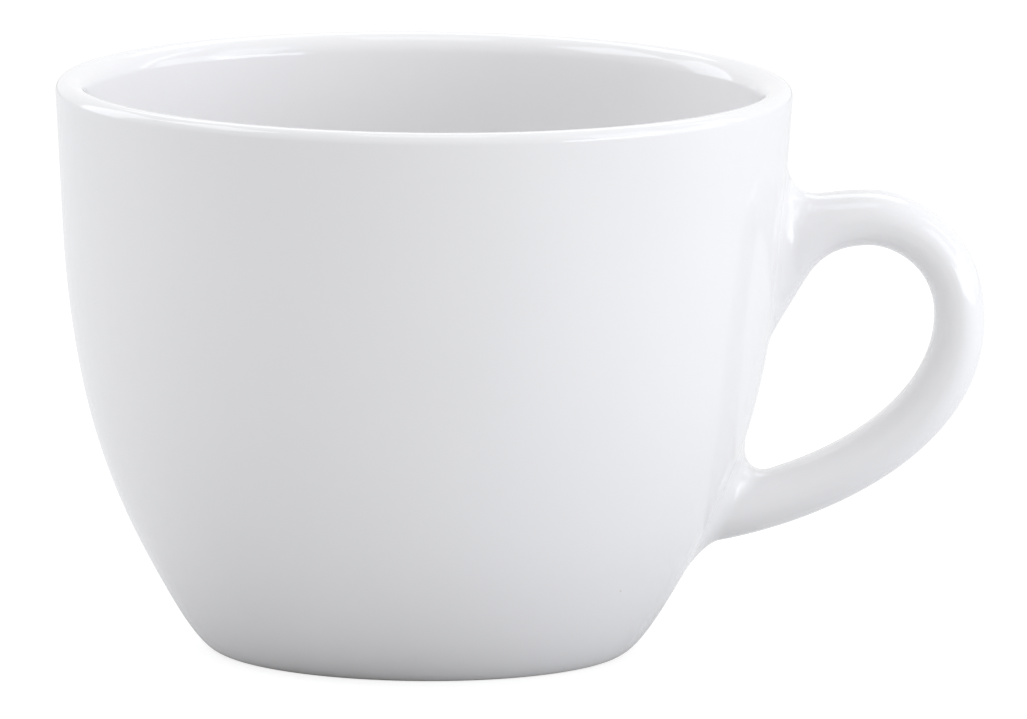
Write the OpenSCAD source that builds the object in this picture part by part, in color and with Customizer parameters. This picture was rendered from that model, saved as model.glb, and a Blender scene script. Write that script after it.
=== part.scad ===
// Breakfast cup in glazed porcelain: a turned cup body and a cast loop handle,
// with the handle stuck to the wall by a bed of slip at each of its two roots.
// Millimetres. Z is the cup's axis, the foot stands on Z = 0, the handle is on +X.

/* [Body] */
// Outside diameter at the lip, where the wall's straight line reaches its full height
rim_d = 100; // [96:1:104]
// Height from the table to the top of the lip
cup_h = 77.5; // [76:0.5:80]
// Thickness of the wall, square to its outside
wall_t = 4.2; // [3.6:0.2:4.8]
// Radius of the lip's outer edge
lip_edge_r = 1.5; // [1.2:0.1:1.8]
// Lean of the straight upper wall from upright, in degrees
draft = 3.5; // [3:0.25:4]
// Height where the straight wall runs into the shoulder curve
shoulder_z = 57; // [54:1:60]
// Radius of the shoulder curve
shoulder_r = 140; // [120:5:160]
// Height where the shoulder curve runs into the belly curve
belly_z = 38; // [36:1:40]
// Radius of the belly curve
belly_r = 88; // [84:1:94]
// Height where the belly curve runs into the skirt above the foot
skirt_z = 14.5; // [13:0.5:16]
// Radius of the skirt curve
skirt_r = 155; // [140:5:180]

/* [Floor and foot] */
// Height of the inside floor above the table
floor_z = 7; // [6:0.5:8]
// Radius of the curve between the inside wall and the floor
floor_r = 12; // [9:1:15]
// Radius of the foot's outer edge
foot_edge_r = 2.5; // [2:0.5:3.5]
// Inside diameter of the ring that stands on the table
foot_bore_d = 46; // [42:1:48]
// Height of the hollow inside the foot ring
foot_hollow = 2; // [1.5:0.25:2.5]
// Radius of the edges of that hollow
foot_soft_r = 0.9; // [0.5:0.1:1]

/* [Handle] */
// How far the handle stands out past the rim
handle_reach = 26.3; // [24:0.1:29]
// Height of the handle's crest
handle_top = 63.2; // [62:0.1:64]
// Thickness of the strap seen from the side, at the crest
strap_t = 7.4; // [6.4:0.2:7.8]
// Width of the strap halfway round
strap_w = 11.2; // [10:0.4:12.4]
// Width of the strap at its two roots
root_w = 12.4; // [11.2:0.4:13.6]
// Squareness of the strap's domed outer face, where 2 is an ellipse
dome_n = 2; // [2:0.1:2.4]
// Squareness of the strap's inner face, where 2 is an ellipse
inner_n = 2.4; // [2:0.1:3]
// Height of the upper root's top edge on the wall, without its flare
upper_root_top = 62.4; // [61.5:0.1:63]
// Height of the upper root's lower edge on the wall, without its flare
upper_root_low = 47; // [46:0.2:48]
// Height of the lower root's top edge on the wall, without its flare
lower_root_top = 23.3; // [22.5:0.1:24]
// Height of the lower root's bottom edge on the wall, without its flare
lower_root_low = 14.7; // [14:0.1:15.5]

/* [Handle joints] */
// Thickness of the slip bed between the wall and each root
slip_t = 0.5; // [0.3:0.1:0.8]
// Radius of the flare above the upper root
upper_flare_top = 4.6; // [4:0.1:5]
// Radius of the flare below the upper root
upper_flare_low = 5.1; // [4.5:0.1:5.5]
// Distance from the wall where the flare above the lower root begins
lower_flare_top = 5.5; // [5:0.1:6]
// How far that flare spreads up the wall
lower_spread_top = 7.3; // [6.5:0.1:8]
// Distance from the wall where the flare below the lower root begins
lower_flare_low = 2.3; // [2:0.1:2.6]
// How far that flare spreads down the wall
lower_spread_low = 4.9; // [4.4:0.1:5.4]
// Radius of the flare on both sides of each root
flare_side = 2.4; // [2:0.1:3]

/* [Hidden] */
$fn = 180;
rim_r = rim_d / 2;
porcelain = [0.93, 0.925, 0.91];
slip_white = [0.95, 0.945, 0.935];

// Outside of the wall: a straight line and three arcs that meet smoothly.
shoulder_x = rim_r - (cup_h - shoulder_z) * tan(draft);
shoulder_c = [shoulder_x - shoulder_r * cos(draft), shoulder_z + shoulder_r * sin(draft)];
belly_a = asin((shoulder_c[1] - belly_z) / shoulder_r);
belly_x = shoulder_c[0] + shoulder_r * cos(belly_a);
belly_c = [belly_x - belly_r * cos(belly_a), belly_z + belly_r * sin(belly_a)];
skirt_a = asin((belly_c[1] - skirt_z) / belly_r);
skirt_x = belly_c[0] + belly_r * cos(skirt_a);
skirt_c = [skirt_x - skirt_r * cos(skirt_a), skirt_z + skirt_r * sin(skirt_a)];

// Lip: a tighter outer edge and a fuller inner one, which meet on top and touch both sides of the wall.
lip_fall = lip_edge_r * (1 + sin(draft));
lip_in_r = (wall_t - lip_fall) / (1 - sin(draft));
lip_out = [rim_r - lip_fall * tan(draft), cup_h - lip_fall];
lip_c = lip_out - lip_edge_r * [cos(draft), -sin(draft)];
lip_in_c = [lip_c[0], cup_h - lip_in_r];
lip_in_low = [shoulder_x, shoulder_z] - wall_t * [cos(draft), -sin(draft)];

// Curve into the inside floor, touching the floor and the inside of the skirt.
floor_reach = skirt_r - wall_t - floor_r;
floor_c = [skirt_c[0] + sqrt(pow(floor_reach, 2) - pow(floor_z + floor_r - skirt_c[1], 2)), floor_z + floor_r];
floor_a = asin((skirt_c[1] - floor_c[1]) / floor_reach);

// Outer edge of the foot, touching the table and the outside of the skirt.
foot_reach = skirt_r - foot_edge_r;
foot_c = [skirt_c[0] + sqrt(pow(foot_reach, 2) - pow(foot_edge_r - skirt_c[1], 2)), foot_edge_r];
foot_a = asin((skirt_c[1] - foot_c[1]) / foot_reach);
hollow_r = foot_bore_d / 2 - foot_soft_r;

// Radius of an arc's right side at a height.
function arc_x(c, r, z) = c[0] + sqrt(r * r - pow(z - c[1], 2));

// Outside radius of the wall at a height.
function wall_x(z) =
    z >= shoulder_z ? rim_r - (cup_h - z) * tan(draft)
    : z >= belly_z ? arc_x(shoulder_c, shoulder_r, z)
    : z >= skirt_z ? arc_x(belly_c, belly_r, z)
    : arc_x(skirt_c, skirt_r, z);

// Points along an arc between two angles. Its first point is left out, because the arc before it ends there.
function arc(c, r, from, to, steps) =
    [for (i = [1 : steps]) c + r * [cos(from + (to - from) * i / steps), sin(from + (to - from) * i / steps)]];

// Right half of the cup's section, from the table up the outside, over the lip, down the inside and under the foot.
section = concat(
    [[foot_c[0], 0]],
    arc(foot_c, foot_edge_r, -90, -foot_a, 8),
    arc(skirt_c, skirt_r, -foot_a, -skirt_a, 6),
    arc(belly_c, belly_r, -skirt_a, -belly_a, 12),
    arc(shoulder_c, shoulder_r, -belly_a, -draft, 8),
    [lip_out],
    arc(lip_c, lip_edge_r, -draft, 90, 8),
    arc(lip_in_c, lip_in_r, 90, 180 - draft, 10),
    [lip_in_low],
    arc(shoulder_c, shoulder_r - wall_t, -draft, -belly_a, 8),
    arc(belly_c, belly_r - wall_t, -belly_a, -skirt_a, 12),
    arc(skirt_c, skirt_r - wall_t, -skirt_a, -floor_a, 3),
    arc(floor_c, floor_r, -floor_a, -90, 14),
    [[0, floor_z], [0, foot_hollow], [hollow_r - foot_soft_r, foot_hollow]],
    arc([hollow_r - foot_soft_r, foot_hollow - foot_soft_r], foot_soft_r, 90, 0, 5),
    [[hollow_r, foot_soft_r]],
    arc([hollow_r + foot_soft_r, foot_soft_r], foot_soft_r, 180, 270, 5)
);

module cup_body() {
    color(porcelain)
    rotate_extrude() polygon(section);
}

// Handle rails in the XZ plane. Each has three spans: root to crest, crest to reach, reach to root.
ring_points = 32;
crest_spans = 16;
bend_spans = 14;
arm_spans = 28;
out_x = rim_r + handle_reach;
out_crest = [rim_r + 10.4, handle_top];
in_crest = [rim_r + 10.6, handle_top - strap_t];
out_turn = [out_x, 45.5];
in_turn = [out_x - 6.9, 46.2];

outer_rail = [
    [[wall_x(upper_root_top) + slip_t, upper_root_top], [rim_r + 3.2, upper_root_top], out_crest - [4.5, 0], out_crest],
    [out_crest, out_crest + [6.1, 0], out_turn + [0, 12.6], out_turn],
    [out_turn, out_turn - [0, 19.4], [rim_r + 1.9, 16.8], [wall_x(lower_root_low) + slip_t, lower_root_low]]
];
inner_rail = [
    [[wall_x(upper_root_low) + slip_t, upper_root_low], [rim_r + 2.5, 50.1], in_crest - [8.3, 0], in_crest],
    [in_crest, in_crest + [3.1, 0], in_turn + [0, 6.7], in_turn],
    [in_turn, in_turn - [0, 9.3], [rim_r + 10.3, 27.7], [wall_x(lower_root_top) + slip_t, lower_root_top]]
];

function bezier(p, t) =
    pow(1 - t, 3) * p[0] + 3 * pow(1 - t, 2) * t * p[1] + 3 * (1 - t) * t * t * p[2] + pow(t, 3) * p[3];

// Place along a rail, where 0 to 1 is the crest span, 1 to 2 the bend and 2 to 3 the arm.
function on_rail(rail, s) =
    let (i = min(floor(s), 2))
    bezier(rail[i], s - i);

// The inner rail runs ahead halfway down the arm, which keeps the sections square to the strap.
function inner_s(s) =
    s <= 2 ? s : s + 2 * pow(s - 2, 2) * pow(3 - s, 2);

function strap_half_w(s) =
    let (away = min(s, 3 - s))
    strap_w / 2 + (root_w - strap_w) / 2 * pow(max(0, 1 - away), 2);

function signed_pow(v, p) = sign(v) * pow(abs(v), p);

// How much a ring at s bends to follow the wall: all of it at a root, none further out.
function hug(s) =
    let (away = min(s, 3 - s))
    pow(max(0, 1 - away / 0.45), 2);

// Place of the wall's outside along X, beside the middle plane and at a height.
function face_x(y, z) = sqrt(pow(wall_x(z), 2) - y * y);

// Size of a root's flare, where c is 1 on the outer rail, -1 on the inner rail and 0 on the sides.
function eased(outer, inner, c) = flare_side + ((c > 0 ? outer : inner) - flare_side) * c * c;

// Distance from the wall where the flare begins.
function flare_r(s, c) =
    s < 1.5 ? eased(upper_flare_top, upper_flare_low, c) : eased(lower_flare_low, lower_flare_top, c);

// How far the flare spreads on the wall.
function flare_w(s, c) =
    s < 1.5 ? eased(upper_flare_top, upper_flare_low, c) : eased(lower_spread_low, lower_spread_top, c);

// How far a flare has spread at some distance from the wall, along a quarter of an ellipse.
function spread(r, w, gap) = gap >= r ? 0 : w * (1 - sqrt(1 - pow(1 - gap / r, 2)));

// A ring of the strap at s, flared where it comes near the wall.
// A level lays the whole ring at that distance from the wall instead.
function ring(s, level = -1) =
    let (
        a = on_rail(outer_rail, s),
        b = on_rail(inner_rail, inner_s(s)),
        mid = (a + b) / 2,
        half = (a - b) / 2,
        long = norm(half),
        wide = strap_half_w(s),
        up = sign(half[1]),
        gap_a = a[0] - wall_x(a[1]),
        gap_b = b[0] - wall_x(b[1])
    )
    [for (i = [0 : ring_points - 1])
        let (
            c = cos(360 * i / ring_points),
            t = sin(360 * i / ring_points),
            n = c > 0 ? dome_n : inner_n,
            along = signed_pow(c, 2 / n),
            y = wide * signed_pow(t, 2 / n),
            p = mid + half * along,
            even = (gap_a + gap_b) / 2 + along * (gap_a - gap_b) / 2,
            own = (1 - hug(s)) * (p[0] - face_x(y, p[1])) + hug(s) * even,
            gap = level < 0 ? own : level,
            out = [signed_pow(t, 2 - 2 / n) / wide, up * signed_pow(c, 2 - 2 / n) / long],
            q = [y, p[1]] + spread(flare_r(s, c), flare_w(s, c), gap) * out / norm(out)
        )
        [face_x(q[0], q[1]) + gap, q[0], q[1]]];

// A smaller copy of a root's ring, laid on the wall at some distance.
function seat_ring(points, share, off) =
    let (c = [for (k = [1, 2]) (points[0][k] + points[ring_points / 2][k]) / 2])
    [for (p = points)
        let (
            y = c[0] + share * (p[1] - c[0]),
            z = c[1] + share * (p[2] - c[1])
        )
        [face_x(y, z) + off, y, z]];

// A closed skin over rings, with its first and last ring drawn in to their middles.
// Inward turns the faces over, for a skin that starts on the far side of its solid.
module skin(rings, inward = false) {
    n = len(rings);
    m = ring_points;
    function flat(i, j) = i * m + j % m;
    function middle(r) = let (q = m / 2) (r[0] + r[q]) / 2;
    points = concat([for (r = rings) each r], [middle(rings[0]), middle(rings[n - 1])]);
    sides = [for (i = [0 : n - 2], j = [0 : m - 1]) each [
        [flat(i, j), flat(i, j + 1), flat(i + 1, j + 1)],
        [flat(i, j), flat(i + 1, j + 1), flat(i + 1, j)]
    ]];
    first = [for (j = [0 : m - 1]) [n * m, flat(0, j + 1), flat(0, j)]];
    last = [for (j = [0 : m - 1]) [n * m + 1, flat(n - 1, j), flat(n - 1, j + 1)]];
    faces = concat(sides, first, last);
    turned = [for (f = faces) [f[2], f[1], f[0]]];
    polyhedron(points, inward ? turned : faces, convexity = 6);
}

// Places of the rings, closer together towards each root.
stations = concat(
    [for (i = [0 : crest_spans]) pow(i / crest_spans, 1.6)],
    [for (i = [1 : bend_spans]) 1 + i / bend_spans],
    [for (i = [1 : arm_spans]) 3 - pow(1 - i / arm_spans, 1.6)]
);
seat_shares = [0.25, 0.5, 0.75];

module handle() {
    upper = ring(0);
    lower = ring(3);
    color(porcelain)
    skin(concat(
        [for (k = [0 : 2]) seat_ring(upper, seat_shares[k], slip_t)],
        [for (s = stations) ring(s)],
        [for (k = [2 : -1 : 0]) seat_ring(lower, seat_shares[k], slip_t)]
    ));
}

// Slip at a root. The skin runs from under the root, down the wiped edge that ends the flare, and back over the wall.
module slip_joint(root) {
    off = 0.02;
    bends = 6;
    seat = ring(root);
    edge = [for (k = [0 : bends]) ring(root, off + (slip_t - off) * pow(1 - k / bends, 2))];
    color(slip_white)
    skin(concat(
        [for (k = [0 : 2]) seat_ring(seat, seat_shares[k], slip_t)],
        edge,
        [for (k = [2 : -1 : 0]) seat_ring(edge[bends], seat_shares[k], off)]
    ), inward = root == 0);
}

module upper_handle_slip() {
    slip_joint(0);
}

module lower_handle_slip() {
    slip_joint(3);
}

cup_body();
handle();
upper_handle_slip();
lower_handle_slip();
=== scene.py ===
"""White porcelain breakfast cup, dressed over its CAD frame.

The cup body is turned from one section, and the handle and its two joints are
skinned over rings that lie on the body's wall. Sizes of the cup are in
millimetres, and those of the studio in metres. Meshes are in metres in the row
frame: Z is the cup's axis, the foot stands on Z = 0 and the handle is on +X.
"""
import logging
import math
from dataclasses import dataclass, field, replace
from enum import Enum

import bpy
import numpy as np
from mathutils import Matrix, Vector


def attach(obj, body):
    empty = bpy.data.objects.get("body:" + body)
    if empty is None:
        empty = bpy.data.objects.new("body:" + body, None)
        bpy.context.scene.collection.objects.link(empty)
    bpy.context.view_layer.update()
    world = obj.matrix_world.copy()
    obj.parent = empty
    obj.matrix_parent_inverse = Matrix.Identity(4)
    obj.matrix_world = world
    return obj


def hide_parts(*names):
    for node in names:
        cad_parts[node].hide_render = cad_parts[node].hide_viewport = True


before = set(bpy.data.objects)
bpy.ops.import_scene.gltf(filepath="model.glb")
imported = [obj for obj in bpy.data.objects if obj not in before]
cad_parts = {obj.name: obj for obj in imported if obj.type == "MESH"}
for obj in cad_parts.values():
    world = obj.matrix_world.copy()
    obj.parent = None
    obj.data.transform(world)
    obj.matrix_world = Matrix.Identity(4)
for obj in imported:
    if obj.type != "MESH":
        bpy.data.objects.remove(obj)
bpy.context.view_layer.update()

LOG = logging.getLogger("breakfast_cup")
MM = 0.001
ROOT_BODY = "root"
IMAGE_SIZE = (1027, 719)
NO_LEVEL = -1000.0

Point = tuple[float, float]
Color = tuple[float, float, float]
Piece = bpy.types.Object
Finish = bpy.types.Material
Tree = bpy.types.NodeTree
Socket = bpy.types.NodeSocket
Number = Socket | float


class Root(Enum):
    """The two places where the handle meets the wall, by their place along the rails."""

    UPPER = 0.0
    LOWER = 3.0


def add_link(tree: Tree, source: Socket, target: Socket) -> None:
    """Joins an output to an input in a node tree."""
    tree.links.new(source, target)


def feed(tree: Tree, value: Number | tuple[float, ...], target: Socket) -> None:
    """Links a socket to an input, or sets the input to a number or colour.

    Args:
        tree: The tree that holds the input.
        value: A socket to link, or a number or colour.
        target: The input.
    """
    if isinstance(value, Socket):
        add_link(tree, value, target)
    else:
        target.default_value = value


def math_node(tree: Tree, operation: str, first: Number, second: Number = 0.0) -> Socket:
    """Adds one Math node.

    Args:
        tree: The tree that gets the node.
        operation: Blender's name of the operation.
        first: A socket to link, or a number.
        second: A socket to link, or a number.

    Returns:
        The node's output socket.
    """
    node = tree.nodes.new("ShaderNodeMath")
    node.operation = operation
    for slot, value in zip(node.inputs, (first, second)):
        feed(tree, value, slot)
    return node.outputs[0]


def ranged(tree: Tree, value: Socket, old: Point, new: Point) -> Socket:
    """Maps a value smoothly from one range to another, without passing its ends.

    Args:
        tree: The tree that gets the node.
        value: The value to map.
        old: Both ends of the value's range.
        new: What the ends become.

    Returns:
        The mapped value.
    """
    node = tree.nodes.new("ShaderNodeMapRange")
    node.interpolation_type = "SMOOTHSTEP"
    add_link(tree, value, node.inputs["Value"])
    for name, number in zip(("From Min", "From Max", "To Min", "To Max"), (*old, *new)):
        node.inputs[name].default_value = number
    return node.outputs["Result"]


@dataclass
class SkinTree:
    """A Geometry Nodes tree that turns a row of stations into a closed, smooth skin.

    A grid has one row of points for each vertex of the object's own line, and one
    column for each step round. A subclass says where a grid point goes. The last
    column lies on the first and is merged with it. Where the grid's faces would point
    into the piece, closes_inside_out turns them over.
    """

    name: str
    closes_inside_out: bool = False
    merge_distance: float = 5.0e-7
    sharp_angle: float = math.radians(50.0)
    tree: Tree = field(init=False)
    group_in: bpy.types.Node = field(init=False)
    inputs: dict[str, str] = field(init=False, default_factory=dict)

    def __post_init__(self) -> None:
        """Makes the tree with its named inputs and all its nodes."""
        self.tree = bpy.data.node_groups.new(self.name, "GeometryNodeTree")
        self.add_input("Geometry", "NodeSocketGeometry")
        self.add_input("Steps Round", "NodeSocketInt")
        self.add_input("Finish", "NodeSocketMaterial")
        self.add_own_inputs()
        self.tree.interface.new_socket(name="Geometry", in_out="OUTPUT", socket_type="NodeSocketGeometry")
        self.group_in = self.tree.nodes.new("NodeGroupInput")
        self.wire()

    def add_input(self, name: str, kind: str) -> None:
        """Adds a named input and keeps its identifier."""
        socket = self.tree.interface.new_socket(name=name, in_out="INPUT", socket_type=kind)
        self.inputs[name] = socket.identifier

    def add_own_inputs(self) -> None:
        """Adds the inputs that only this kind of skin has."""

    def place(self, row: Socket, angle: Socket) -> Socket:
        """Gives the position of a grid point.

        Args:
            row: Number of the station on the line.
            angle: Angle round the ring, in radians.

        Returns:
            A vector socket.
        """
        raise NotImplementedError

    def sampled(self, value: Socket, row: Socket, kind: str) -> Socket:
        """Reads a value of the line at a station.

        Args:
            value: Field to read on the line's points.
            row: Number of the station.
            kind: Blender's name of the data type.

        Returns:
            The value at that station.
        """
        node = self.tree.nodes.new("GeometryNodeSampleIndex")
        node.data_type = kind
        node.domain = "POINT"
        add_link(self.tree, self.group_in.outputs["Geometry"], node.inputs["Geometry"])
        add_link(self.tree, value, node.inputs["Value"])
        add_link(self.tree, row, node.inputs["Index"])
        return node.outputs["Value"]

    def named(self, name: str, kind: str) -> Socket:
        """Reads a named attribute of the line.

        Args:
            name: Name of the attribute.
            kind: Blender's name of the data type.

        Returns:
            The attribute as a field.
        """
        node = self.tree.nodes.new("GeometryNodeInputNamedAttribute")
        node.data_type = kind
        node.inputs["Name"].default_value = name
        return node.outputs["Attribute"]

    def wire(self) -> None:
        """Wires the grid, the placing of its points and the finish."""
        tree, nodes = self.tree, self.tree.nodes
        size = nodes.new("GeometryNodeAttributeDomainSize")
        size.component = "MESH"
        add_link(tree, self.group_in.outputs["Geometry"], size.inputs["Geometry"])
        columns = math_node(tree, "ADD", self.group_in.outputs["Steps Round"], 1.0)
        grid = nodes.new("GeometryNodeMeshGrid")
        add_link(tree, size.outputs["Point Count"], grid.inputs["Vertices X"])
        add_link(tree, columns, grid.inputs["Vertices Y"])
        index = nodes.new("GeometryNodeInputIndex").outputs["Index"]
        # Half a step keeps the quotient clear of the whole numbers.
        counted = math_node(tree, "ADD", index, 0.5)
        row = math_node(tree, "FLOOR", math_node(tree, "DIVIDE", counted, columns))
        column = math_node(tree, "SUBTRACT", index, math_node(tree, "MULTIPLY", row, columns))
        turn = math_node(tree, "DIVIDE", column, self.group_in.outputs["Steps Round"])
        angle = math_node(tree, "MULTIPLY", turn, 2.0 * math.pi)
        move = nodes.new("GeometryNodeSetPosition")
        add_link(tree, grid.outputs["Mesh"], move.inputs["Geometry"])
        add_link(tree, self.place(row, angle), move.inputs["Position"])
        merge = nodes.new("GeometryNodeMergeByDistance")
        merge.inputs["Distance"].default_value = self.merge_distance
        add_link(tree, move.outputs["Geometry"], merge.inputs["Geometry"])
        last = merge.outputs["Geometry"]
        if self.closes_inside_out:
            flip = nodes.new("GeometryNodeFlipFaces")
            add_link(tree, last, flip.inputs["Mesh"])
            last = flip.outputs["Mesh"]
        smooth = nodes.new("GeometryNodeSetShadeSmooth")
        add_link(tree, last, smooth.inputs["Geometry"])
        realize = nodes.new("GeometryNodeRealizeInstances")
        add_link(tree, smooth.outputs["Geometry"], realize.inputs["Geometry"])
        dress = nodes.new("GeometryNodeSetMaterial")
        add_link(tree, realize.outputs["Geometry"], dress.inputs["Geometry"])
        add_link(tree, self.group_in.outputs["Finish"], dress.inputs["Material"])
        group_out = nodes.new("NodeGroupOutput")
        add_link(tree, dress.outputs["Geometry"], group_out.inputs["Geometry"])

    def apply(self, line: Piece, values: dict[str, object], name: str) -> Piece:
        """Runs the tree on a line and keeps the result as a plain mesh.

        Args:
            line: Object whose mesh is the row of stations. It is removed.
            values: Value of each named input.
            name: Name of the finished piece.

        Returns:
            The finished piece, at the origin, with no modifier.
        """
        modifier = line.modifiers.new(self.name, "NODES")
        modifier.node_group = self.tree
        for key, value in values.items():
            modifier[self.inputs[key]] = value
        line.update_tag()
        depsgraph = bpy.context.evaluated_depsgraph_get()
        mesh = bpy.data.meshes.new_from_object(line.evaluated_get(depsgraph))
        line.modifiers.remove(modifier)
        bpy.data.objects.remove(line)
        mesh.name = name
        mesh.set_sharp_from_angle(angle=self.sharp_angle)
        piece = bpy.data.objects.new(name, mesh)
        bpy.context.scene.collection.objects.link(piece)
        return piece


class TurnedTree(SkinTree):
    """Turns a section in the XZ plane about the cup's axis."""

    def place(self, row: Socket, angle: Socket) -> Socket:
        """Turns a point of the section by the angle.

        Args:
            row: Number of the section's point.
            angle: Angle about the axis, in radians.

        Returns:
            The point's place.
        """
        tree = self.tree
        position = tree.nodes.new("GeometryNodeInputPosition").outputs["Position"]
        split = tree.nodes.new("ShaderNodeSeparateXYZ")
        add_link(tree, self.sampled(position, row, "FLOAT_VECTOR"), split.inputs[0])
        out = tree.nodes.new("ShaderNodeCombineXYZ")
        for slot, part in zip(out.inputs, ("COSINE", "SINE")):
            share = math_node(tree, part, angle)
            add_link(tree, math_node(tree, "MULTIPLY", split.outputs[0], share), slot)
        add_link(tree, split.outputs[2], out.inputs[2])
        return out.outputs[0]


class StrapTree(SkinTree):
    """Skins a strap over rings, laid on the cup's wall and flared near a root.

    The wall is found by rays along X, whose start and length are in metres.
    """

    ray_start: float = 1.0
    ray_length: float = 2.0

    def add_own_inputs(self) -> None:
        """Adds the wall to lie on, the ring's squareness on both faces and the side flare."""
        self.add_input("Wall", "NodeSocketObject")
        self.add_input("Outer Squareness", "NodeSocketFloat")
        self.add_input("Inner Squareness", "NodeSocketFloat")
        self.add_input("Side Flare", "NodeSocketFloat")

    def op(self, operation: str, *values: Number) -> Socket:
        """Adds a Math node to this tree."""
        return math_node(self.tree, operation, *values)

    def powered(self, value: Socket, power: Socket) -> Socket:
        """Raises the size of a value to a power, keeping its sign."""
        size = self.op("POWER", self.op("ABSOLUTE", value), power)
        return self.op("MULTIPLY", size, self.op("SIGN", value))

    def face(self, y: Number, z: Socket) -> Socket:
        """Finds the wall's outside along X.

        Args:
            y: Distance beside the middle plane.
            z: Height.

        Returns:
            The place of the wall along X.
        """
        tree, nodes = self.tree, self.tree.nodes
        wall = nodes.new("GeometryNodeObjectInfo")
        add_link(tree, self.group_in.outputs["Wall"], wall.inputs["Object"])
        start = nodes.new("ShaderNodeCombineXYZ")
        start.inputs[0].default_value = self.ray_start
        feed(tree, y, start.inputs[1])
        feed(tree, z, start.inputs[2])
        ray = nodes.new("GeometryNodeRaycast")
        ray.inputs["Ray Direction"].default_value = (-1.0, 0.0, 0.0)
        ray.inputs["Ray Length"].default_value = self.ray_length
        add_link(tree, wall.outputs["Geometry"], ray.inputs["Target Geometry"])
        add_link(tree, start.outputs[0], ray.inputs["Source Position"])
        hit = nodes.new("ShaderNodeSeparateXYZ")
        add_link(tree, ray.outputs["Hit Position"], hit.inputs[0])
        return hit.outputs[0]

    def at_station(self, name: str, row: Socket) -> Socket:
        """Reads a number that each station carries."""
        return self.sampled(self.named(name, "FLOAT"), row, "FLOAT")

    def by_face(self, cosine: Socket, outer: Socket, inner: Socket) -> Socket:
        """Picks a value by the face of the strap.

        Args:
            cosine: Above 0 on the outer face, and 0 or less on the inner face.
            outer: Value on the outer face.
            inner: Value on the inner face.

        Returns:
            The value of the face that the point is on.
        """
        outside = self.op("GREATER_THAN", cosine, 0.0)
        inside = self.op("SUBTRACT", 1.0, outside)
        return self.op("ADD", self.op("MULTIPLY", outside, outer), self.op("MULTIPLY", inside, inner))

    def eased(self, name: str, cosine: Socket, row: Socket) -> Socket:
        """Eases one size of the flare from the sides to both faces.

        Args:
            name: Start of the names of the two numbers that each station carries.
            cosine: 1 on the outer rail, -1 on the inner rail and 0 on the sides.
            row: Number of the station.

        Returns:
            The size there.
        """
        side = self.group_in.outputs["Side Flare"]
        ends = [self.at_station(name + face, row) for face in ("_outer", "_inner")]
        end = self.by_face(cosine, *ends)
        part = self.op("MULTIPLY", self.op("SUBTRACT", end, side), self.op("MULTIPLY", cosine, cosine))
        return self.op("ADD", side, part)

    def spread(self, cosine: Socket, gap: Socket, row: Socket) -> Socket:
        """Finds how far the flare has spread, along a quarter of an ellipse.

        Args:
            cosine: 1 on the outer rail, -1 on the inner rail and 0 on the sides.
            gap: Distance from the wall.
            row: Number of the station.

        Returns:
            The spread, square to the ring.
        """
        op = self.op
        reach = self.eased("flare", cosine, row)
        away = op("DIVIDE", op("MAXIMUM", op("MINIMUM", gap, reach), 0.0), reach)
        rest = op("SUBTRACT", 1.0, op("SQRT", op("MULTIPLY", away, op("SUBTRACT", 2.0, away))))
        return op("MULTIPLY", self.eased("spread", cosine, row), rest)

    def place(self, row: Socket, angle: Socket) -> Socket:
        """Puts a ring's point round its station, flares it and lays it off the wall.

        Args:
            row: Number of the ring.
            angle: Angle round the ring in radians, 0 on the outer rail.

        Returns:
            The point's place.
        """
        tree, nodes, op = self.tree, self.tree.nodes, self.op
        position = nodes.new("GeometryNodeInputPosition").outputs["Position"]
        middle = nodes.new("ShaderNodeSeparateXYZ")
        add_link(tree, self.sampled(position, row, "FLOAT_VECTOR"), middle.inputs[0])
        half = nodes.new("ShaderNodeSeparateXYZ")
        halves = self.named("half", "FLOAT_VECTOR")
        add_link(tree, self.sampled(halves, row, "FLOAT_VECTOR"), half.inputs[0])
        width, hug = self.at_station("width", row), self.at_station("hug", row)
        level, share = self.at_station("level", row), self.at_station("share", row)
        cosine, sine = op("COSINE", angle), op("SINE", angle)
        faces = (self.group_in.outputs["Outer Squareness"], self.group_in.outputs["Inner Squareness"])
        blunt = op("DIVIDE", 2.0, self.by_face(cosine, *faces))
        sharp = op("SUBTRACT", 2.0, blunt)
        along = self.powered(cosine, blunt)
        y = op("MULTIPLY", width, self.powered(sine, blunt))
        x = op("ADD", middle.outputs[0], op("MULTIPLY", half.outputs[0], along))
        z = op("ADD", middle.outputs[2], op("MULTIPLY", half.outputs[2], along))
        # Near a root, the gap goes evenly from rail to rail, so the ring bends with the wall.
        rails = []
        for side in ("ADD", "SUBTRACT"):
            rail_x = op(side, middle.outputs[0], half.outputs[0])
            rail_z = op(side, middle.outputs[2], half.outputs[2])
            rails.append(op("SUBTRACT", rail_x, self.face(0.0, rail_z)))
        mean = op("MULTIPLY", op("ADD", *rails), 0.5)
        even = op("ADD", mean, op("MULTIPLY", along, op("MULTIPLY", op("SUBTRACT", *rails), 0.5)))
        clear = op("MULTIPLY", op("SUBTRACT", 1.0, hug), op("SUBTRACT", x, self.face(y, z)))
        own = op("ADD", clear, op("MULTIPLY", hug, even))
        # A ring with a level keeps it off the wall, and any other ring has its own gap.
        laid = op("GREATER_THAN", level, NO_LEVEL * MM / 2)
        gap = op("ADD", op("MULTIPLY", laid, level), op("MULTIPLY", op("SUBTRACT", 1.0, laid), own))
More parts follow.
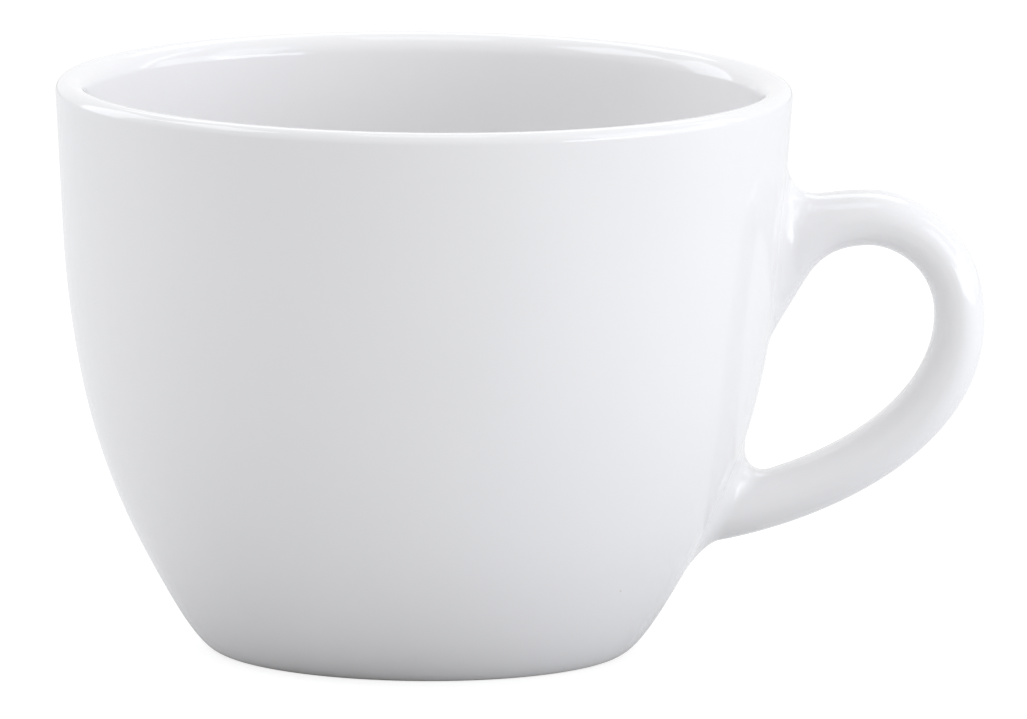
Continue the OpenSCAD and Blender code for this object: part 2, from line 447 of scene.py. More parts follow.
        # The flare moves a point outwards, square to the ring's own outline.
        spread = self.spread(cosine, gap, row)
        length = op("SQRT", op("ADD", *(op("POWER", half.outputs[k], 2.0) for k in (0, 2))))
        out_y = op("DIVIDE", self.powered(sine, sharp), width)
        upwards = op("SIGN", half.outputs[2])
        out_z = op("MULTIPLY", upwards, op("DIVIDE", self.powered(cosine, sharp), length))
        size = op("SQRT", op("ADD", op("POWER", out_y, 2.0), op("POWER", out_z, 2.0)))
        y = op("ADD", y, op("MULTIPLY", spread, op("DIVIDE", out_y, size)))
        z = op("ADD", z, op("MULTIPLY", spread, op("DIVIDE", out_z, size)))
        # A share under 1 draws the ring in towards its middle.
        y = op("MULTIPLY", share, y)
        rise = op("MULTIPLY", share, op("SUBTRACT", z, middle.outputs[2]))
        z = op("ADD", middle.outputs[2], rise)
        out = nodes.new("ShaderNodeCombineXYZ")
        add_link(tree, op("ADD", self.face(y, z), gap), out.inputs[0])
        add_link(tree, y, out.inputs[1])
        add_link(tree, z, out.inputs[2])
        return out.outputs[0]


def line_object(name: str, points: np.ndarray) -> Piece:
    """Makes a bare line of points for a skin tree to work on.

    Args:
        name: Name of the line.
        points: Points in metres, one row each.

    Returns:
        An object linked to the scene.
    """
    mesh = bpy.data.meshes.new(name)
    edges = [(i, i + 1) for i in range(len(points) - 1)]
    mesh.from_pydata([tuple(p) for p in points], edges, [])
    line = bpy.data.objects.new(name, mesh)
    bpy.context.scene.collection.objects.link(line)
    return line


def arc(centre: Point, radius: float, start: float, stop: float, steps: int) -> list[Point]:
    """Points along an arc, without its first one.

    Args:
        centre: Middle of the arc.
        radius: Radius of the arc.
        start: First angle, in radians.
        stop: Last angle, in radians.
        steps: Number of points.

    Returns:
        The points, from after the start to the stop.
    """
    angles = [start + (stop - start) * i / steps for i in range(1, steps + 1)]
    return [(centre[0] + radius * math.cos(a), centre[1] + radius * math.sin(a)) for a in angles]


def straight(start: Point, stop: Point, steps: int) -> list[Point]:
    """Points along a straight line, without its first one.

    Args:
        start: First end.
        stop: Last end.
        steps: Number of points.

    Returns:
        The points, from after the start to the stop.
    """
    return [
        (start[0] + (stop[0] - start[0]) * i / steps, start[1] + (stop[1] - start[1]) * i / steps)
        for i in range(1, steps + 1)
    ]


def bowed(start: Point, corner: Point, stop: Point, steps: int) -> list[Point]:
    """Points along a curve that rounds a corner, without its first one.

    Args:
        start: Where the curve leaves the first side.
        corner: Where the two sides would meet.
        stop: Where the curve joins the second side.
        steps: Number of points.

    Returns:
        The points, from after the start to the stop.
    """
    ends = [np.array(p) for p in (start, corner, stop)]
    shares = [i / steps for i in range(1, steps + 1)]
    curve = [(1 - t) ** 2 * ends[0] + 2 * (1 - t) * t * ends[1] + t * t * ends[2] for t in shares]
    return [(float(p[0]), float(p[1])) for p in curve]


@dataclass(frozen=True)
class Glaze:
    """Clear gloss glaze over white porcelain.

    Colours are linear, and a scale is a number of waves or cells in a metre. The tone
    drifts a little where the glaze lies thicker, the gloss has a faint waviness, and a
    few specks of burnt clay show through. Up to the bare height, in millimetres, the
    porcelain has no glaze, and its glaze line wanders. A bare height of 0 is glaze all over.
    """

    name: str
    ior: float = 1.5
    thin: Color = (0.87, 0.864, 0.87)
    thick: Color = (0.848, 0.843, 0.852)
    drift_scale: float = 16.0
    drift_span: Point = (0.35, 0.65)
    speck: Color = (0.6, 0.56, 0.52)
    speck_scale: float = 70.0
    speck_edge: Point = (0.012, 0.022)
    speck_above: float = 0.8
    rough: Point = (0.05, 0.1)
    rough_scale: float = 45.0
    rough_span: Point = (0.3, 0.7)
    wave_scale: float = 60.0
    wave_height: float = 0.7
    peel_scale: float = 420.0
    peel_height: float = 0.08
    bump_strength: float = 0.25
    bump_depth: float = 0.0002
    bare_height: float = 0.0
    bare: Color = (0.79, 0.765, 0.725)
    bare_rough: float = 0.72
    grain_scale: float = 2600.0
    grain_height: float = 0.5
    line_scale: float = 260.0
    line_wander: float = 0.25
    line_soft: float = 0.12

    def noise(self, tree: Tree, scale: float, detail: float = 2.0) -> Socket:
        """Adds a noise over the piece's own coordinates.

        Args:
            tree: The material's tree.
            scale: Number of waves in a metre.
            detail: Number of finer layers.

        Returns:
            The noise's value.
        """
        place = tree.nodes.new("ShaderNodeTexCoord")
        node = tree.nodes.new("ShaderNodeTexNoise")
        node.inputs["Scale"].default_value = scale
        node.inputs["Detail"].default_value = detail
        add_link(tree, place.outputs["Object"], node.inputs["Vector"])
        return node.outputs[0]

    def mixed(self, tree: Tree, share: Socket, first: Socket | Color, second: Color) -> Socket:
        """Mixes two colours by a share.

        Args:
            tree: The material's tree.
            share: 0 for the first colour and 1 for the second.
            first: A colour, or a socket that gives one.
            second: A colour.

        Returns:
            The mixed colour.
        """
        # Inputs 6 and 7 and output 2 are the Mix node's colours.
        node = tree.nodes.new("ShaderNodeMix")
        node.data_type = "RGBA"
        add_link(tree, share, node.inputs[0])
        feed(tree, first if isinstance(first, Socket) else (*first, 1.0), node.inputs[6])
        node.inputs[7].default_value = (*second, 1.0)
        return node.outputs[2]

    def specks(self, tree: Tree) -> Socket:
        """Marks small specks at the middle of one cell in five.

        A cell is about 14 mm wide, and only the few middles that lie at the surface show.

        Args:
            tree: The material's tree.

        Returns:
            1 on a speck and 0 beside it.
        """
        place = tree.nodes.new("ShaderNodeTexCoord")
        cells = tree.nodes.new("ShaderNodeTexVoronoi")
        cells.inputs["Scale"].default_value = self.speck_scale
        add_link(tree, place.outputs["Object"], cells.inputs["Vector"])
        near = ranged(tree, cells.outputs["Distance"], self.speck_edge, (1.0, 0.0))
        tint = tree.nodes.new("ShaderNodeSeparateXYZ")
        add_link(tree, cells.outputs["Color"], tint.inputs[0])
        chosen = math_node(tree, "GREATER_THAN", tint.outputs[0], self.speck_above)
        return math_node(tree, "MULTIPLY", near, chosen)

    def make(self) -> Finish:
        """Builds the material.

        Returns:
            A material with its own node tree.
        """
        material = bpy.data.materials.new(self.name)
        material.use_nodes = True
        tree = material.node_tree
        shader = tree.nodes["Principled BSDF"]
        shader.inputs["IOR"].default_value = self.ior
        drift = ranged(tree, self.noise(tree, self.drift_scale), self.drift_span, (0.0, 1.0))
        color = self.mixed(tree, drift, self.thin, self.thick)
        color = self.mixed(tree, self.specks(tree), color, self.speck)
        rough = ranged(tree, self.noise(tree, self.rough_scale), self.rough_span, self.rough)
        wave = math_node(tree, "MULTIPLY", self.noise(tree, self.wave_scale, 1.0), self.wave_height)
        peel = math_node(tree, "MULTIPLY", self.noise(tree, self.peel_scale), self.peel_height)
        height = math_node(tree, "ADD", wave, peel)
        if self.bare_height > 0.0:
            share = self.bare_share(tree)
            color = self.mixed(tree, share, color, self.bare)
            matt = math_node(tree, "MULTIPLY", share, self.bare_rough)
            rough = math_node(tree, "MAXIMUM", rough, matt)
            grain = math_node(tree, "MULTIPLY", self.noise(tree, self.grain_scale, 3.0), share)
            grain = math_node(tree, "MULTIPLY", grain, self.grain_height)
            height = math_node(tree, "ADD", height, grain)
        bump = tree.nodes.new("ShaderNodeBump")
        bump.inputs["Strength"].default_value = self.bump_strength
        bump.inputs["Distance"].default_value = self.bump_depth
        add_link(tree, height, bump.inputs["Height"])
        add_link(tree, color, shader.inputs["Base Color"])
        add_link(tree, rough, shader.inputs["Roughness"])
        add_link(tree, bump.outputs["Normal"], shader.inputs["Normal"])
        return material

    def bare_share(self, tree: Tree) -> Socket:
        """Marks the bare ring under the foot, with an uneven glaze line.

        Args:
            tree: The material's tree.

        Returns:
            1 on bare porcelain and 0 under the glaze.
        """
        place = tree.nodes.new("ShaderNodeTexCoord")
        split = tree.nodes.new("ShaderNodeSeparateXYZ")
        add_link(tree, place.outputs["Object"], split.inputs[0])
        ragged = math_node(tree, "MULTIPLY", self.noise(tree, self.line_scale), self.line_wander * MM)
        level = math_node(tree, "ADD", split.outputs[2], ragged)
        low = self.bare_height * MM
        return ranged(tree, level, (low, low + self.line_soft * MM), (1.0, 0.0))


@dataclass
class CupBody:
    """The turned cup: lip, wall, floor and foot ring in one piece.

    Below the lip, the wall's outside is a straight line and three arcs that run into each
    other, the shoulder, the belly and the skirt, each named by its top and its radius. The
    foot's outer edge is a soft curve that leaves the skirt at the rise and meets the flat
    at the run.
    """

    rim_r: float = 50.0
    height: float = 77.5
    wall: float = 4.2
    lip_edge_r: float = 1.5
    draft: float = math.radians(3.5)
    shoulder_z: float = 57.0
    shoulder_r: float = 140.0
    belly_z: float = 38.0
    belly_r: float = 88.0
    skirt_z: float = 14.5
    skirt_r: float = 155.0
    floor_z: float = 7.0
    floor_r: float = 12.0
    foot_edge_run: float = 2.0
    foot_edge_rise: float = 7.0
    foot_bore_r: float = 23.0
    foot_hollow: float = 2.0
    foot_soft_r: float = 0.9
    steps_round: int = 288

    def __post_init__(self) -> None:
        """Finds where the wall's line and arcs meet."""
        draft = self.draft
        self.shoulder_x = self.rim_r - (self.height - self.shoulder_z) * math.tan(draft)
        self.shoulder_c = (
            self.shoulder_x - self.shoulder_r * math.cos(draft),
            self.shoulder_z + self.shoulder_r * math.sin(draft),
        )
        self.belly_a = math.asin((self.shoulder_c[1] - self.belly_z) / self.shoulder_r)
        belly_x = self.shoulder_c[0] + self.shoulder_r * math.cos(self.belly_a)
        self.belly_c = (
            belly_x - self.belly_r * math.cos(self.belly_a),
            self.belly_z + self.belly_r * math.sin(self.belly_a),
        )
        self.skirt_a = math.asin((self.belly_c[1] - self.skirt_z) / self.belly_r)
        skirt_x = self.belly_c[0] + self.belly_r * math.cos(self.skirt_a)
        self.skirt_c = (
            skirt_x - self.skirt_r * math.cos(self.skirt_a),
            self.skirt_z + self.skirt_r * math.sin(self.skirt_a),
        )

    def wall_x(self, z: float) -> float:
        """Outside radius of the wall, without the foot's soft edge.

        Args:
            z: Height.

        Returns:
            The radius at that height.
        """
        if z >= self.shoulder_z:
            return self.rim_r - (self.height - z) * math.tan(self.draft)
        if z >= self.belly_z:
            centre, radius = self.shoulder_c, self.shoulder_r
        elif z >= self.skirt_z:
            centre, radius = self.belly_c, self.belly_r
        else:
            centre, radius = self.skirt_c, self.skirt_r
        return centre[0] + math.sqrt(radius**2 - (z - centre[1]) ** 2)

    def touching(self, radius: float, reach: float, level: float) -> tuple[Point, float]:
        """A small arc that touches a level and the skirt's arc from inside.

        Args:
            radius: Radius of the small arc.
            reach: Radius of the skirt's arc that it touches.
            level: Height of the level.

        Returns:
            The small arc's middle, and the angle below level where it touches the skirt.
        """
        inner = reach - radius
        rise = self.skirt_c[1] - (level + radius)
        middle = (self.skirt_c[0] + math.sqrt(inner**2 - rise**2), level + radius)
        return middle, math.asin(rise / inner)

    def section(self) -> list[Point]:
        """Draws the section's right half.

        Returns:
            Its points, from the middle of the hollow under the foot round to the middle of
            the floor.
        """
        draft, wall = self.draft, self.wall
        quarter = math.pi / 2
        foot_a = math.asin((self.skirt_c[1] - self.foot_edge_rise) / self.skirt_r)
        foot_top = (self.wall_x(self.foot_edge_rise), self.foot_edge_rise)
        foot_corner = (foot_top[0] - self.foot_edge_rise * math.tan(foot_a), 0.0)
        flat_end = (foot_corner[0] - self.foot_edge_run, 0.0)
        floor_c, floor_a = self.touching(self.floor_r, self.skirt_r - wall, self.floor_z)
        lip_fall = self.lip_edge_r * (1 + math.sin(draft))
        lip_in_r = (wall - lip_fall) / (1 - math.sin(draft))
        lip_out = (self.rim_r - lip_fall * math.tan(draft), self.height - lip_fall)
        lip_c = (lip_out[0] - self.lip_edge_r * math.cos(draft), self.height - self.lip_edge_r)
        lip_in_c = (lip_c[0], self.height - lip_in_r)
        shoulder = (self.shoulder_x, self.shoulder_z)
        in_shoulder = (shoulder[0] - wall * math.cos(draft), shoulder[1] + wall * math.sin(draft))
        lip_in = (lip_c[0] - lip_in_r * math.cos(draft), lip_in_c[1] + lip_in_r * math.sin(draft))
        hollow_r, soft = self.foot_bore_r - self.foot_soft_r, self.foot_soft_r
        inner_top = (hollow_r - soft, self.foot_hollow - soft)
        stand = (hollow_r + soft, soft)
        points = [(0.0, self.foot_hollow)]
        points += straight(points[0], (hollow_r - soft, self.foot_hollow), 5)
        points += arc(inner_top, soft, quarter, 0.0, 8)
        points += straight((hollow_r, inner_top[1]), (hollow_r, soft), 1)
        points += arc(stand, soft, math.pi, 3 * quarter, 8)
        points += straight((stand[0], 0.0), flat_end, 4)
        points += bowed(flat_end, foot_corner, foot_top, 20)
        points += arc(self.skirt_c, self.skirt_r, -foot_a, -self.skirt_a, 6)
        points += arc(self.belly_c, self.belly_r, -self.skirt_a, -self.belly_a, 18)
        points += arc(self.shoulder_c, self.shoulder_r, -self.belly_a, -draft, 12)
        points += straight(shoulder, lip_out, 10)
        points += arc(lip_c, self.lip_edge_r, -draft, quarter, 14)
        points += arc(lip_in_c, lip_in_r, quarter, math.pi - draft, 16)
        points += straight(lip_in, in_shoulder, 10)
        points += arc(self.shoulder_c, self.shoulder_r - wall, -draft, -self.belly_a, 12)
        points += arc(self.belly_c, self.belly_r - wall, -self.belly_a, -self.skirt_a, 18)
        points += arc(self.skirt_c, self.skirt_r - wall, -self.skirt_a, -floor_a, 4)
        points += arc(floor_c, self.floor_r, -floor_a, -quarter, 20)
        points += straight((floor_c[0], self.floor_z), (0.0, self.floor_z), 5)
        return points

    def build(self, finish: Finish) -> Piece:
        """Turns the section into the body's mesh.

        Args:
            finish: Material of the body.

        Returns:
            The finished piece.
        """
        points = np.array([(x * MM, 0.0, z * MM) for x, z in self.section()])
        tree = TurnedTree("turned_section", closes_inside_out=True)
        values = {"Steps Round": self.steps_round, "Finish": finish}
        piece = tree.apply(line_object("body_section", points), values, "glazed_body")
        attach(piece, ROOT_BODY)
        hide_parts("cup_body")
        return piece


@dataclass(frozen=True)
class Station:
    """One ring of a strap.

    It has a middle, half its height as a vector, half its width, a share of the way that it
    bends with the wall, how far from the wall its flare begins on both rails, and how far
    the flare spreads on the wall. A ring with a level of 0 or more, or just under, lies at
    that distance from the wall, and NO_LEVEL leaves it where its rails are. A share under
    1 draws the ring in.
    """

    middle: np.ndarray
    half: np.ndarray
    width: float
    hug: float
    flare_outer: float
    flare_inner: float
    spread_outer: float
    spread_inner: float
    level: float = NO_LEVEL
    share: float = 1.0


@dataclass
class LoopHandle:
    """The cast loop: a rounded strap between an outer and an inner rail, flared at both roots.

    A rail has three spans, the crest, the bend and the arm, each with four points that pull
    a smooth curve. On the arm the inner rail leads the outer one, so the rings stay square
    to the strap. The rings crowd towards both roots and bend with the wall in the hug's
    reach of them.
    """

    body: CupBody
    reach: float = 26.3
    top: float = 63.2
    strap_t: float = 7.4
    bend_t: float = 6.9
    strap_w: float = 11.2
    root_w: float = 12.4
    outer_squareness: float = 2.0
    inner_squareness: float = 2.4
    upper_top: float = 62.4
    upper_low: float = 47.0
    lower_top: float = 23.3
    lower_low: float = 14.7
    bed: float = 0.5
    upper_flare_top: float = 4.6
    upper_flare_low: float = 5.1
    lower_flare_top: float = 5.5
    lower_flare_low: float = 2.3
    lower_spread_top: float = 7.3
    lower_spread_low: float = 4.9
    flare_side: float = 2.4
    hug_reach: float = 0.45
    lead: float = 2.0
    crowding: float = 1.6
    points_round: int = 96
    crest_steps: int = 72
    bend_steps: int = 48
    arm_steps: int = 104
    draw_in: tuple[float, ...] = (0.0, 0.25, 0.5, 0.75)

    def __post_init__(self) -> None:
        """Lays out both rails, each in three spans."""
        rim, top = self.body.rim_r, self.top
        low = top - self.strap_t
        out_x = rim + self.reach
        in_x = out_x - self.bend_t
        self.outer = [
            [self.seat(self.upper_top), (rim + 3.2, self.upper_top), (rim + 5.9, top), (rim + 10.4, top)],
            [(rim + 10.4, top), (rim + 16.5, top), (out_x, 58.1), (out_x, 45.5)],
            [(out_x, 45.5), (out_x, 26.1), (rim + 1.9, 16.8), self.seat(self.lower_low)],
        ]
        self.inner = [
            [self.seat(self.upper_low), (rim + 2.5, 50.1), (rim + 2.3, low), (rim + 10.6, low)],
            [(rim + 10.6, low), (rim + 13.7, low), (in_x, 52.9), (in_x, 46.2)],
            [(in_x, 46.2), (in_x, 36.9), (rim + 10.3, 27.7), self.seat(self.lower_top)],
        ]

    def seat(self, z: float) -> Point:
        """End of a rail on the slip bed, at a height."""
        return (self.body.wall_x(z) + self.bed, z)

    def on_rail(self, rail: list[list[Point]], s: float) -> np.ndarray:
        """Finds a place along a rail, where each span is one unit long.

        Args:
            rail: Spans of the rail.
            s: Place along the rail.

        Returns:
            The place's X and Z.
        """
        span = min(int(s), len(rail) - 1)
        t = s - span
        a, b, c, d = (np.array(p) for p in rail[span])
        return (1 - t) ** 3 * a + 3 * (1 - t) ** 2 * t * b + 3 * (1 - t) * t * t * c + t**3 * d

    def station(self, s: float) -> Station:
        """The ring at a place along the rails.

        Args:
            s: Place along the rails, 0 at the upper root and 3 at the lower.

        Returns:
            The ring, at its own distance from the wall.
        """
        end = Root.LOWER.value
        on_arm = max(0.0, s - (end - 1))
        ahead = s + self.lead * on_arm**2 * (end - s) ** 2
        a, b = self.on_rail(self.outer, s), self.on_rail(self.inner, ahead)
        away = min(s, end - s)
        width = self.strap_w / 2 + (self.root_w - self.strap_w) / 2 * max(0.0, 1 - away) ** 2
        hug = max(0.0, 1 - away / self.hug_reach) ** 2
        if s < end / 2:
            flares = spreads = (self.upper_flare_top, self.upper_flare_low)
        else:
            flares = (self.lower_flare_low, self.lower_flare_top)
            spreads = (self.lower_spread_low, self.lower_spread_top)
        return Station((a + b) / 2, (a - b) / 2, width, hug, *flares, *spreads)

    def places(self) -> list[float]:
        """Lays out the rings along the rails, closer together towards each root.

        Returns:
            The rings' places, from the upper root to the lower.
        """
        end, power = Root.LOWER.value, self.crowding
        crest = [(i / self.crest_steps) ** power for i in range(self.crest_steps + 1)]
        bend = [1 + i / self.bend_steps for i in range(1, self.bend_steps + 1)]
        arm = [end - (1 - i / self.arm_steps) ** power for i in range(1, self.arm_steps + 1)]
        return crest + bend + arm

    def skin(self, stations: list[Station], wall: Piece, finish: Finish, name: str, turned: bool) -> Piece:
        """Skins rings into a closed piece.

        Args:
            stations: Rings in order. The first and last are drawn in to a point.
            wall: The cup's body, which the roots lie on.
            finish: Material of the piece.
            name: Name of the piece.
            turned: Whether the faces would point inwards and are turned over.

        Returns:
            The finished piece.
        """
        middles = np.array([(s.middle[0], 0.0, s.middle[1]) for s in stations]) * MM
        halves = np.array([(s.half[0], 0.0, s.half[1]) for s in stations]) * MM
        line = line_object(name + "_line", middles)
        mesh = line.data
        vectors = mesh.attributes.new("half", "FLOAT_VECTOR", "POINT")
        vectors.data.foreach_set("vector", halves.ravel())
        lengths = ("width", "flare_outer", "flare_inner", "spread_outer", "spread_inner", "level")
        scales = dict.fromkeys(lengths, MM) | {"hug": 1.0, "share": 1.0}
        for key, scale in scales.items():
            numbers = mesh.attributes.new(key, "FLOAT", "POINT")
            numbers.data.foreach_set("value", np.array([getattr(s, key) for s in stations]) * scale)
        tree = StrapTree(name + "_tree", closes_inside_out=turned)
        values = {
            "Steps Round": self.points_round,
            "Finish": finish,
            "Wall": wall,
            "Outer Squareness": self.outer_squareness,
            "Inner Squareness": self.inner_squareness,
            "Side Flare": self.flare_side * MM,
        }
        return tree.apply(line, values, name)

    def build(self, wall: Piece, finish: Finish) -> Piece:
        """Builds the loop from root to root.

        Args:
            wall: The cup's body.
            finish: Material of the handle.

        Returns:
            The finished piece.
        """
        stations = [self.station(s) for s in self.places()]
        start = [replace(stations[0], level=self.bed, share=share) for share in self.draw_in]
        end = [replace(stations[-1], level=self.bed, share=share) for share in reversed(self.draw_in)]
        piece = self.skin(start + stations + end, wall, finish, "glazed_handle", turned=False)
        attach(piece, ROOT_BODY)
        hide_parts("handle")
        return piece


@dataclass
class HandleJoint:
    """The slip between the wall and one root of the handle, with the wiped edge that ends the flare.

    It is sunk a little into the wall, so that no line of light shows under its edge.
    """

    handle: LoopHandle
    root: Root
    node: str
    sunk: float = 0.03
    bends: int = 24

    def build(self, wall: Piece, finish: Finish) -> Piece:
        """Builds the bed and its wiped edge as one closed piece.

        Args:
            wall: The cup's body.
            finish: Material of the joint.

        Returns:
            The finished piece.
        """
        handle = self.handle
        root = handle.station(self.root.value)
        deep = handle.bed + self.sunk
        levels = [deep * (1 - k / self.bends) ** 2 - self.sunk for k in range(self.bends + 1)]
        under = [replace(root, level=handle.bed, share=share) for share in handle.draw_in]
        edge = [replace(root, level=level) for level in levels]
        back = [replace(root, level=-self.sunk, share=share) for share in reversed(handle.draw_in)]
        turned = self.root is Root.UPPER
        piece = handle.skin(under + edge + back, wall, finish, self.node + "_glazed", turned)
        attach(piece, ROOT_BODY)
        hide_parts(self.node)
        return piece


@dataclass(frozen=True)
class Lamp:
    """A soft panel of light, aimed at the cup.

    Its bearing is counted from the camera's side towards the handle, in degrees, and its
    elevation from the floor.
    """

    name: str
    bearing: float
    elevation: float
    width: float
    height: float
    watts: float
    distance: float = 1.3
    color: Color = (0.92, 0.95, 1.0)

    def hang(self, aim: Vector) -> None:
        """Adds the lamp to the scene, out of the camera's sight.

        Args:
            aim: Point that the lamp faces.
        """
        bearing, elevation = math.radians(self.bearing), math.radians(self.elevation)
        level = math.cos(elevation)
        away = Vector((math.sin(bearing) * level, -math.cos(bearing) * level, math.sin(elevation)))
        data = bpy.data.lights.new(self.name, "AREA")
        data.shape = "RECTANGLE"
        data.size, data.size_y = self.width, self.height
        data.energy = self.watts
        data.color = self.color
        lamp = bpy.data.objects.new(self.name, data)
        lamp.location = aim + away * self.distance
        lamp.rotation_euler = (-away).to_track_quat("-Z", "Y").to_euler()
        lamp.visible_camera = False
        bpy.context.scene.collection.objects.link(lamp)


@dataclass
class Studio:
    """White floor, soft panels and the camera of the photograph.

    The floor is lit by its tone, with painted shade that makes it greyer in a ring close to the cup.
    Gloss sees it with a little glow, and the camera sees it close to white, with the cup's soft shadow.
    """

    distance: float = 2.5
    elevation: float = math.radians(9.06)
    roll: float = math.radians(0.55)
    pixels_per_mm: float = 7.375
    aim_height: float = 0.038
    aim_pixel: Point = (421.5, 369.5)
    world_level: float = 0.69
    floor_tone: float = 0.7
    # Painted shade: the floor is greyer in a ring close to the cup, which darkens the cup's foot and lower
    # side in bounce and gloss.
    painted_shade_tone: float = 0.55
    painted_shade_ring: Point = (0.03, 0.06)
    gloss_glow: float = 0.15
    seen_tone: float = 0.3
    seen_glow: float = 0.8
    floor_half: float = 4.0
    floor_drop: float = 2.0e-5
    sensor: float = 36.0
    clip: Point = (0.05, 100.0)
    lamps: tuple[Lamp, ...] = (
        Lamp("right_side", 115.0, 28.0, 0.1, 1.0, 0.7),
        Lamp("right_front", 70.0, 28.0, 0.6, 0.8, 2.4),
        Lamp("right_wide", 90.0, 12.0, 0.8, 0.6, 2.1),
        Lamp("right_low", 60.0, 8.0, 0.8, 0.3, 2.7),
        Lamp("left_high", 270.0, 50.0, 0.7, 0.5, 2.8),
        Lamp("left_back", 240.0, 20.0, 0.6, 0.9, 2.9),
        Lamp("back", 180.0, 45.0, 1.0, 0.4, 1.6),
        Lamp("top", 0.0, 89.0, 0.5, 0.5, 1.1),
    )

    def in_sight(self, tree: Tree, kinds: tuple[str, ...]) -> Socket:
        """Tells whether a ray is of one of some kinds.

        Args:
            tree: The tree that gets the nodes.
            kinds: Names of Light Path outputs.

        Returns:
            1 for a ray of those kinds and 0 for others.
        """
        path = tree.nodes.new("ShaderNodeLightPath")
        share = path.outputs[kinds[0]]
        for kind in kinds[1:]:
            share = math_node(tree, "MAXIMUM", share, path.outputs[kind])
        return share

    def light_world(self) -> None:
        """Sets a soft grey world that is white to the camera, in gloss and through glass."""
        world = bpy.data.worlds.new("studio_world")
        world.use_nodes = True
        bpy.context.scene.world = world
        tree = world.node_tree
        background = tree.nodes["Background"]
        background.inputs["Color"].default_value = (1.0, 1.0, 1.0, 1.0)
        white = self.in_sight(tree, ("Is Camera Ray", "Is Glossy Ray", "Is Transmission Ray"))
        lift = math_node(tree, "MULTIPLY", white, 1.0 - self.world_level)
        add_link(tree, math_node(tree, "ADD", lift, self.world_level), background.inputs["Strength"])

    def grey(self, tree: Tree) -> Socket:
        """Gives the floor's tone, with painted shade that makes it greyer close to the cup.

        Args:
            tree: The floor's tree.

        Returns:
            The tone at a point of the floor.
        """
        place = tree.nodes.new("ShaderNodeTexCoord")
        away = tree.nodes.new("ShaderNodeVectorMath")
        away.operation = "LENGTH"
        add_link(tree, place.outputs["Object"], away.inputs[0])
        return ranged(tree, away.outputs["Value"], self.painted_shade_ring, (self.painted_shade_tone, self.floor_tone))

    def lit(self, tree: Tree, tone: Number, glow: float) -> Socket:
        """Adds a matt shader that takes shadows, lifted by a glow of its own.

        Args:
            tree: The floor's tree.
            tone: Grey of the matt shader, as a socket or a number.
            glow: Strength of the glow.

        Returns:
            The shader.
        """
        matt = tree.nodes.new("ShaderNodeBsdfDiffuse")
        grey = tone if isinstance(tone, Socket) else (tone, tone, tone, 1.0)
        feed(tree, grey, matt.inputs["Color"])
        lift = tree.nodes.new("ShaderNodeEmission")
        lift.inputs["Strength"].default_value = glow
        both = tree.nodes.new("ShaderNodeAddShader")
        add_link(tree, matt.outputs[0], both.inputs[0])
        add_link(tree, lift.outputs[0], both.inputs[1])
        return both.outputs[0]

    def lay_floor(self) -> None:
        """Lays the pale floor, just under the foot."""
        mesh = bpy.data.meshes.new("floor")
        half, low = self.floor_half, -self.floor_drop
        corners = [(-half, -half, low), (half, -half, low), (half, half, low), (-half, half, low)]
        mesh.from_pydata(corners, [], [(0, 1, 2, 3)])
        floor = bpy.data.objects.new("floor", mesh)
        bpy.context.scene.collection.objects.link(floor)
        material = bpy.data.materials.new("pale_floor")
        material.use_nodes = True
        tree = material.node_tree
        tree.nodes.remove(tree.nodes["Principled BSDF"])
        # The tone carries the painted shade close to the cup, in bounce and in gloss.
        tone = self.grey(tree)
        shader = self.lit(tree, tone, 0.0)
        looks = (
            (("Is Glossy Ray",), self.lit(tree, tone, self.gloss_glow)),
            (("Is Camera Ray", "Is Transmission Ray"), self.lit(tree, self.seen_tone, self.seen_glow)),
        )
        for kinds, look in looks:
            choose = tree.nodes.new("ShaderNodeMixShader")
            add_link(tree, self.in_sight(tree, kinds), choose.inputs[0])
            add_link(tree, shader, choose.inputs[1])
            add_link(tree, look, choose.inputs[2])
            shader = choose.outputs[0]
        add_link(tree, shader, tree.nodes["Material Output"].inputs["Surface"])
        mesh.materials.append(material)

    def set_camera(self) -> None:
        """Places the camera where the photograph was taken from, with its roll and framing."""
        forward = Vector((0.0, math.cos(self.elevation), -math.sin(self.elevation)))
        place = Vector((0.0, 0.0, self.aim_height)) - forward * self.distance
        level = Vector((1.0, 0.0, 0.0))
        upright = level.cross(forward)
        right = level * math.cos(self.roll) + upright * math.sin(self.roll)
        up = upright * math.cos(self.roll) - level * math.sin(self.roll)
        focal = self.pixels_per_mm / MM * self.distance
        across = (IMAGE_SIZE[0] / 2 - self.aim_pixel[0]) / focal
        down = (IMAGE_SIZE[1] / 2 - self.aim_pixel[1]) / focal
        ahead = (forward + right * across - up * down).normalized()
        right = (right - ahead * right.dot(ahead)).normalized()
        up = right.cross(ahead)
        data = bpy.data.cameras.new("photo_camera")
        data.sensor_fit = "HORIZONTAL"
        data.sensor_width = self.sensor
        data.lens = focal * data.sensor_width / IMAGE_SIZE[0]
        data.clip_start, data.clip_end = self.clip
        camera = bpy.data.objects.new("photo_camera", data)
        turn = Matrix((right, up, -ahead)).transposed()
        camera.matrix_world = Matrix.Translation(place) @ turn.to_4x4()
        bpy.context.scene.collection.objects.link(camera)
        bpy.context.scene.camera = camera

    def build(self) -> None:
        """Sets up the world, the floor, the lamps and the camera."""
        scene = bpy.context.scene
        scene.view_settings.view_transform = "Standard"
        self.light_world()
        self.lay_floor()
        for lamp in self.lamps:
            lamp.hang(Vector((0.0, 0.0, self.aim_height)))
        self.set_camera()


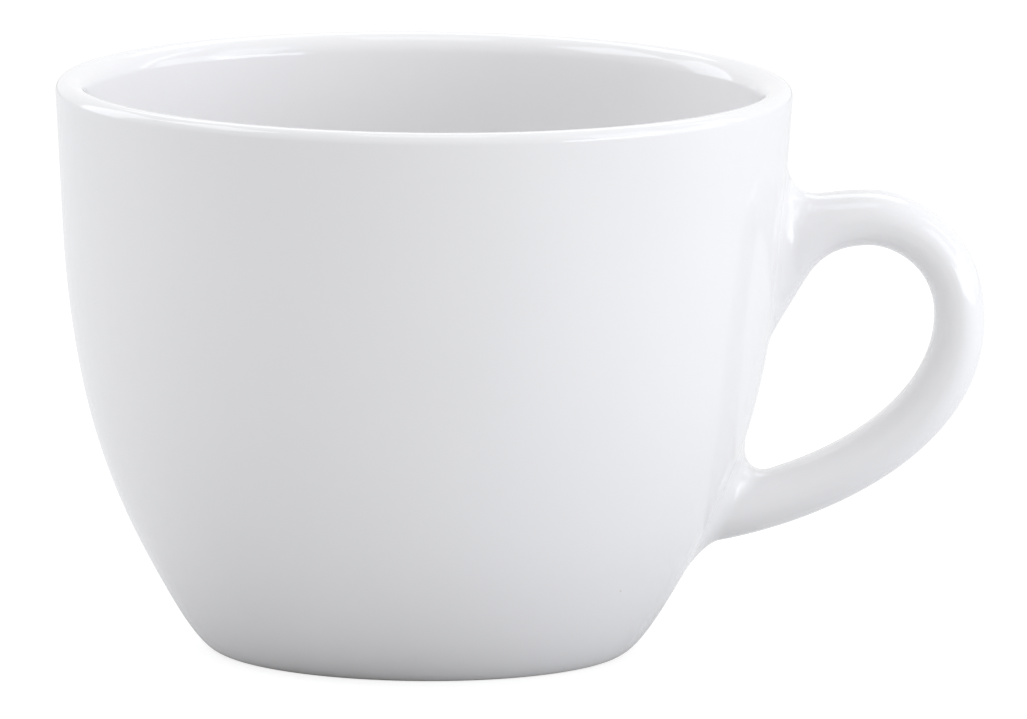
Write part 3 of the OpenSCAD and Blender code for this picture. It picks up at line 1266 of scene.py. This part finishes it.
def main() -> None:
    """Builds the cup and its studio, and reports each piece."""
    logging.basicConfig(level=logging.INFO, format="%(name)s: %(message)s")
    body = CupBody()
    handle = LoopHandle(body)
    joints = (
        HandleJoint(handle, Root.UPPER, "upper_handle_slip"),
        HandleJoint(handle, Root.LOWER, "lower_handle_slip"),
    )
    wall = body.build(Glaze("body_glaze", bare_height=0.3).make())
    pieces = [wall, handle.build(wall, Glaze("handle_glaze").make())]
    joint_glaze = Glaze("joint_glaze").make()
    pieces += [joint.build(wall, joint_glaze) for joint in joints]
    for piece in pieces:
        LOG.info("%s: %d faces", piece.name, len(piece.data.polygons))
    Studio().build()


if __name__ == "__main__":
    main()
